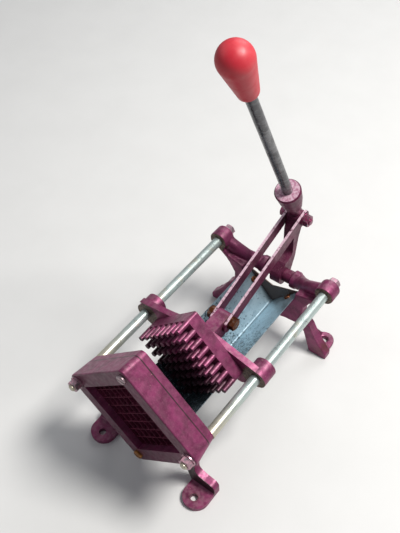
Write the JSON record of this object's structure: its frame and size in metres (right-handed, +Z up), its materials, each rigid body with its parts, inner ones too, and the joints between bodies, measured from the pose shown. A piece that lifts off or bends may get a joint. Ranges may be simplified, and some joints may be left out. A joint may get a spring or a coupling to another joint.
{
  "type": "french fry cutter",
  "caption": "Lever operated french fry cutter: pusher plate with pins on two guide rods, square die in a diamond housing, sheet trough, long handle.",
  "frame": {"origin": "on the table, midway between the two bolt holes of the front feet", "axes": "+Z up, -Y out of the die towards the user's bowl, +X to the right seen from the front"},
  "size_m": [0.176, 0.3262, 0.4542],
  "materials": {
    "painted_casting": "satin metallic maroon paint, worn",
    "pusher_metal": "painted casting",
    "rod_steel": "bright ground steel",
    "handle_steel": "dull steel",
    "knob_plastic": "glossy",
    "tray_sheet": "galvanised sheet",
    "die_steel": "cutting steel",
    "fastener_steel": "zinc plated"
  },
  "bodies": {
    "base": {"front_housing": "painted_casting", "front_leg_plate": "painted_casting", "blade_frame": "die_steel", "guide_rod_left": "rod_steel", "guide_rod_right": "rod_steel", "rear_frame": "painted_casting", "product_tray": "tray_sheet", "front_rod_washers": "fastener_steel", "front_rod_nuts": "fastener_steel", "rear_rod_washers": "fastener_steel", "rear_rod_nuts": "fastener_steel", "corner_screws": "fastener_steel", "tray_screws": "fastener_steel", "pivot_pin": "fastener_steel", "blade_rise_1": "die_steel", "blade_rise_2": "die_steel", "blade_rise_3": "die_steel", "blade_rise_4": "die_steel", "blade_rise_5": "die_steel", "blade_rise_6": "die_steel", "blade_rise_7": "die_steel", "blade_fall_1": "die_steel", "blade_fall_2": "die_steel", "blade_fall_3": "die_steel", "blade_fall_4": "die_steel", "blade_fall_5": "die_steel", "blade_fall_6": "die_steel", "blade_fall_7": "die_steel"},
    "lever": {"lever": "painted_casting", "handle_rod": "handle_steel", "knob": "knob_plastic", "link_bolt": "fastener_steel", "link_washers": "fastener_steel", "link_bolt_nut": "fastener_steel"},
    "links": {"link_left": "painted_casting", "link_right": "painted_casting", "carriage_link_screws": "fastener_steel", "carriage_link_washers": "fastener_steel"},
    "carriage": {"carriage": "painted_casting", "pusher_plate": "pusher_metal"}
  },
  "joints": [
    {"name": "lever_pivot", "type": "hinge", "parent": "base", "child": "lever", "pos_m": [0, 0.269, 0.084], "axis": [1, 0, 0], "range_deg": [-20, 50]},
    {"name": "link_pivot", "type": "hinge", "parent": "lever", "child": "links", "pos_m": [0, 0.29697, 0.16002], "axis": [1, 0, 0], "range_deg": [-47.3, 19]},
    {"name": "carriage_slide", "type": "slide", "parent": "base", "child": "carriage", "axis": [0, -1, 0], "range_m": [-0.0275, 0.0685]}
  ],
  "couplings": [
    {"joint": "link_pivot", "follows": "lever_pivot", "ratio": -0.943},
    {"joint": "carriage_slide", "follows": "lever_pivot", "m_per_rad": 0.0765}
  ]
}
